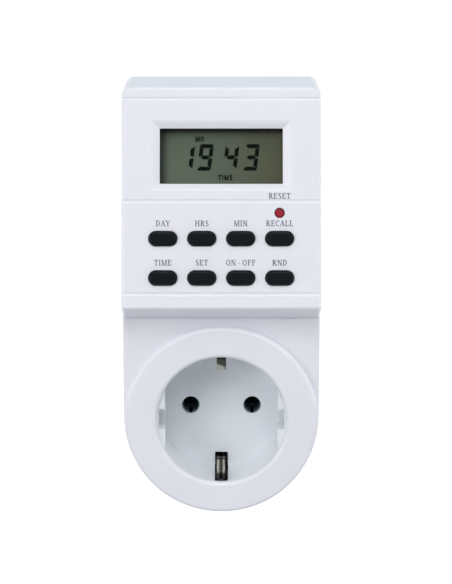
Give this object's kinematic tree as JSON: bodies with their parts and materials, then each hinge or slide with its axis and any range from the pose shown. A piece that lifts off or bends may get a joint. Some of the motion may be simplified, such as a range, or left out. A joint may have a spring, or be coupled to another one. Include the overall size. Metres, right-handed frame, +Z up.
{
  "type": "digital timer switch",
  "caption": "Plug-in digital timer switch: sloping panel with a display and oval buttons over a round earthed socket, and a round plug on the back.",
  "frame": {"origin": "on the plug's axis, in the plane of the case's back face, which meets the wall socket", "axes": "+Y along the plug towards the wall, +Z up, +X to the right when seen from the front"},
  "size_m": [0.059, 0.0814, 0.1286],
  "materials": {
    "shell_white": "moulded, satin",
    "key_black": "moulded",
    "key_red": "moulded",
    "window_clear": "clear",
    "lcd_cell": "reflective cell",
    "frame_grey": "moulded",
    "zebra_rubber": "striped",
    "switch_black": "moulded",
    "board_green": "solder mask",
    "resin_black": "cast",
    "can_steel": "drawn",
    "relay_blue": "moulded",
    "film_yellow": "moulded",
    "sleeve_black": "shrunk sleeve",
    "resistor_tan": "lacquered",
    "ribbon_grey": "extruded",
    "pin_nickel": "plated",
    "contact_brass": "stamped",
    "earth_steel": "stamped, plated",
    "wire_brown": "extruded",
    "wire_blue": "extruded",
    "screw_steel": "plated"
  },
  "bodies": {
    "housing": {"front_shell": "shell_white", "rear_shell": "shell_white", "socket_cup": "shell_white", "lcd_window": "window_clear", "lcd_glass": "lcd_cell", "lcd_frame": "frame_grey", "contact_carrier": "frame_grey", "zebra_strips": "zebra_rubber", "tact_switches": "switch_black", "control_board": "board_green", "power_board": "board_green", "controller_blob": "resin_black", "crystal": "can_steel", "backup_battery": "can_steel", "relay": "relay_blue", "dropper_capacitor": "film_yellow", "smoothing_capacitor": "sleeve_black", "rectifier_diodes": "sleeve_black", "resistors": "resistor_tan", "ribbon_cable": "ribbon_grey", "live_pin": "pin_nickel", "neutral_pin": "pin_nickel", "live_contact": "contact_brass", "neutral_contact": "contact_brass", "live_tag": "contact_brass", "earth_clip_top": "earth_steel", "earth_clip_bottom": "earth_steel", "earth_link": "earth_steel", "live_in_wire": "wire_brown", "live_out_wire": "wire_brown", "neutral_wire": "wire_blue", "case_screws": "screw_steel", "board_screws": "screw_steel", "power_board_screws": "screw_steel"},
    "key_day": {"button_day": "key_black", "plunger_day": "switch_black"},
    "key_hour": {"button_hour": "key_black", "plunger_hour": "switch_black"},
    "key_minute": {"button_minute": "key_black", "plunger_minute": "switch_black"},
    "key_recall": {"button_recall": "key_black", "plunger_recall": "switch_black"},
    "key_time": {"button_time": "key_black", "plunger_time": "switch_black"},
    "key_program": {"button_program": "key_black", "plunger_program": "switch_black"},
    "key_mode": {"button_mode": "key_black", "plunger_mode": "switch_black"},
    "key_random": {"button_random": "key_black", "plunger_random": "switch_black"},
    "key_reset": {"reset_button": "key_red", "plunger_reset": "switch_black"}
  },
  "joints": [
    {"name": "day_press", "type": "slide", "parent": "housing", "child": "key_day", "axis": [0, 0.9613, -0.2756], "range_m": [0, 0.0008], "stiffness_N_per_m": 1000, "springref_m": -0.0004},
    {"name": "hour_press", "type": "slide", "parent": "housing", "child": "key_hour", "axis": [0, 0.9613, -0.2756], "range_m": [0, 0.0008], "stiffness_N_per_m": 1000, "springref_m": -0.0004},
    {"name": "minute_press", "type": "slide", "parent": "housing", "child": "key_minute", "axis": [0, 0.9613, -0.2756], "range_m": [0, 0.0008], "stiffness_N_per_m": 1000, "springref_m": -0.0004},
    {"name": "recall_press", "type": "slide", "parent": "housing", "child": "key_recall", "axis": [0, 0.9613, -0.2756], "range_m": [0, 0.0008], "stiffness_N_per_m": 1000, "springref_m": -0.0004},
    {"name": "time_press", "type": "slide", "parent": "housing", "child": "key_time", "axis": [0, 0.9613, -0.2756], "range_m": [0, 0.0008], "stiffness_N_per_m": 1000, "springref_m": -0.0004},
    {"name": "program_press", "type": "slide", "parent": "housing", "child": "key_program", "axis": [0, 0.9613, -0.2756], "range_m": [0, 0.0008], "stiffness_N_per_m": 1000, "springref_m": -0.0004},
    {"name": "mode_press", "type": "slide", "parent": "housing", "child": "key_mode", "axis": [0, 0.9613, -0.2756], "range_m": [0, 0.0008], "stiffness_N_per_m": 1000, "springref_m": -0.0004},
    {"name": "random_press", "type": "slide", "parent": "housing", "child": "key_random", "axis": [0, 0.9613, -0.2756], "range_m": [0, 0.0008], "stiffness_N_per_m": 1000, "springref_m": -0.0004},
    {"name": "reset_press", "type": "slide", "parent": "housing", "child": "key_reset", "axis": [0, 0.9613, -0.2756], "range_m": [0, 0.0008], "stiffness_N_per_m": 1000, "springref_m": -0.0004}
  ]
}
